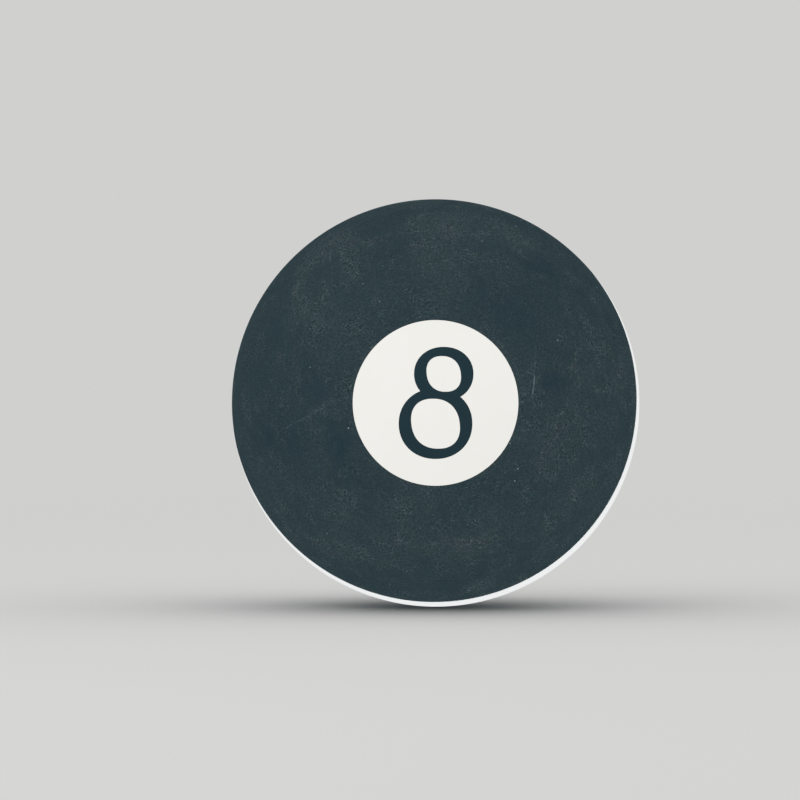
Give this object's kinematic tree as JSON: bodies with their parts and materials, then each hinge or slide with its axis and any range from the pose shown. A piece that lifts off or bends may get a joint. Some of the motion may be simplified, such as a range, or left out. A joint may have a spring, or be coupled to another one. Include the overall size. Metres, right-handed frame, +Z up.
{
  "type": "numbered pool ball",
  "caption": "Slate-black cast resin pool ball, ground to one sphere, with a white disc and a dark inlaid numeral 8 let into two opposite sides.",
  "frame": {"origin": "centre of the ball", "axes": "+Z up, with both numerals upright; -Y out of the front number disc and +Y out of the rear one, along the common axis of the two discs; +X to the right of the front numeral"},
  "size_m": [0.0572, 0.0572, 0.0572],
  "materials": {
    "body_resin": "polished",
    "disc_resin": "polished",
    "numeral_resin": "polished"
  },
  "bodies": {
    "root": {"ball_body": "body_resin", "front_number_disc": "disc_resin", "front_numeral": "numeral_resin", "front_upper_eye": "disc_resin", "front_lower_eye": "disc_resin", "rear_number_disc": "disc_resin", "rear_numeral": "numeral_resin", "rear_upper_eye": "disc_resin", "rear_lower_eye": "disc_resin"}
  },
  "joints": []
}
